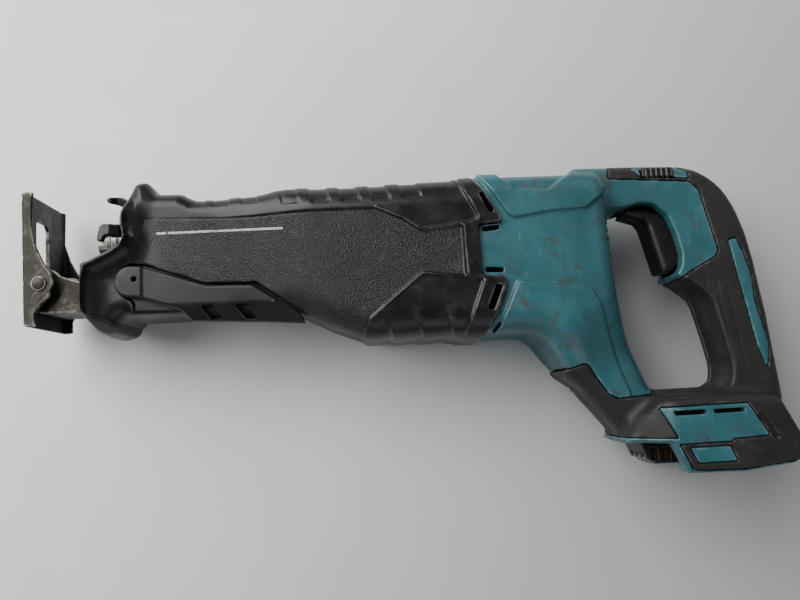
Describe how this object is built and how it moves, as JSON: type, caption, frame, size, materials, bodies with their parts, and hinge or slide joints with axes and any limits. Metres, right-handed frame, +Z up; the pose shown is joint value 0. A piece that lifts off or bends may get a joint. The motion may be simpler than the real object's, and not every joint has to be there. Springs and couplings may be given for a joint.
{
  "type": "cordless reciprocating saw",
  "caption": "Cordless reciprocating saw without blade or battery: rubber-booted nose with swivelling shoe, teal motor housing and a D-shaped grip over a battery foot.",
  "frame": {"origin": "bottom centre of the bounding box, with the saw lying on its right side as it was pictured", "axes": "+X runs back from the shoe to the grip along the stroke, +Y points to the top of the saw, +Z is up and points to the saw's left side"},
  "size_m": [0.4377, 0.181, 0.08],
  "materials": {
    "teal_plastic": "satin",
    "boot_rubber": "textured",
    "grip_rubber": "matte",
    "black_plastic": "satin",
    "lever_plastic": "worn satin",
    "cast_aluminium": "as cast",
    "bright_steel": "machined",
    "worn_steel": "worn and stained",
    "sintered_bronze": "sintered",
    "copper": "bare",
    "electrical_steel": "laminated",
    "board_green": "potted",
    "seal_rubber": "matte",
    "clear_lens": "clear"
  },
  "bodies": {
    "body": {"left_housing": "teal_plastic", "right_housing": "teal_plastic", "insulation_boot": "boot_rubber", "left_overmould": "grip_rubber", "right_overmould": "grip_rubber", "switch_body": "black_plastic", "battery_terminal_block": "black_plastic", "gear_case_left": "cast_aluminium", "gear_case_right": "cast_aluminium", "lever_pivot_pin": "bright_steel", "upper_crank_bearing": "bright_steel", "lower_crank_bearing": "bright_steel", "front_rotor_bearing": "bright_steel", "rear_rotor_bearing": "bright_steel", "case_screw_1": "bright_steel", "case_screw_2": "bright_steel", "case_screw_3": "bright_steel", "case_screw_4": "bright_steel", "housing_screw_1": "bright_steel", "housing_screw_2": "bright_steel", "housing_screw_3": "bright_steel", "housing_screw_4": "bright_steel", "housing_screw_5": "bright_steel", "housing_screw_6": "bright_steel", "housing_screw_7": "bright_steel", "front_plunger_bushing": "sintered_bronze", "rear_plunger_bushing": "sintered_bronze", "front_winding": "copper", "rear_winding": "copper", "battery_terminal_plus": "copper", "battery_terminal_signal": "copper", "battery_terminal_minus": "copper", "motor_stator": "electrical_steel", "motor_sensor_board": "board_green", "controller_module": "board_green", "plunger_seal": "seal_rubber", "led_lens": "clear_lens"},
    "crank": {"crank_gear": "bright_steel"},
    "rotor": {"rotor_shaft": "bright_steel", "rotor_core": "electrical_steel", "cooling_fan": "black_plastic"},
    "plunger": {"plunger": "bright_steel", "clamp_pin": "bright_steel", "clamp_collar": "bright_steel"},
    "clamp_sleeve": {"clamp_sleeve": "worn_steel"},
    "shoe_arm": {"shoe_arm": "worn_steel", "shoe_pivot_pin": "bright_steel"},
    "shoe": {"shoe": "worn_steel"},
    "shoe_lock": {"shoe_lock_lever": "lever_plastic"},
    "trigger": {"trigger": "black_plastic"},
    "lock_off": {"lock_off_button": "black_plastic"}
  },
  "joints": [
    {"name": "crank_spin", "type": "hinge", "parent": "body", "child": "crank", "pos_m": [-0.003, 0.0205, 0.04], "axis": [0, 1, 0], "continuous": true},
    {"name": "rotor_spin", "type": "hinge", "parent": "body", "child": "rotor", "pos_m": [0.071, 0.0395, 0.04], "axis": [1, 0, 0], "continuous": true},
    {"name": "plunger_slide", "type": "slide", "parent": "body", "child": "plunger", "axis": [1, 0, 0], "range_m": [-0.016, 0.016]},
    {"name": "sleeve_turn", "type": "hinge", "parent": "plunger", "child": "clamp_sleeve", "pos_m": [-0.172, 0.0555, 0.04], "axis": [1, 0, 0], "range_deg": [-60, 0], "stiffness_Nm_per_rad": 0.05, "springref_deg": 11.46},
    {"name": "shoe_slide", "type": "slide", "parent": "body", "child": "shoe_arm", "axis": [1, 0, 0], "range_m": [-0.028, 0.01]},
    {"name": "shoe_tilt", "type": "hinge", "parent": "shoe_arm", "child": "shoe", "pos_m": [-0.208, 0.0285, 0.04], "axis": [0, 0, 1], "range_deg": [-25, 3]},
    {"name": "shoe_lock_turn", "type": "hinge", "parent": "body", "child": "shoe_lock", "pos_m": [-0.155, 0.028, 0.068], "axis": [0, 0, 1], "range_deg": [-70, 0]},
    {"name": "trigger_squeeze", "type": "slide", "parent": "body", "child": "trigger", "axis": [1, 0, 0], "range_m": [0, 0.006], "stiffness_N_per_m": 500, "springref_m": -0.003},
    {"name": "lock_off_slide", "type": "slide", "parent": "body", "child": "lock_off", "axis": [0, 0, 1], "range_m": [-0.003, 0.003]}
  ],
  "couplings": [
    {"joint": "rotor_spin", "follows": "crank_spin", "ratio": 6}
  ]
}
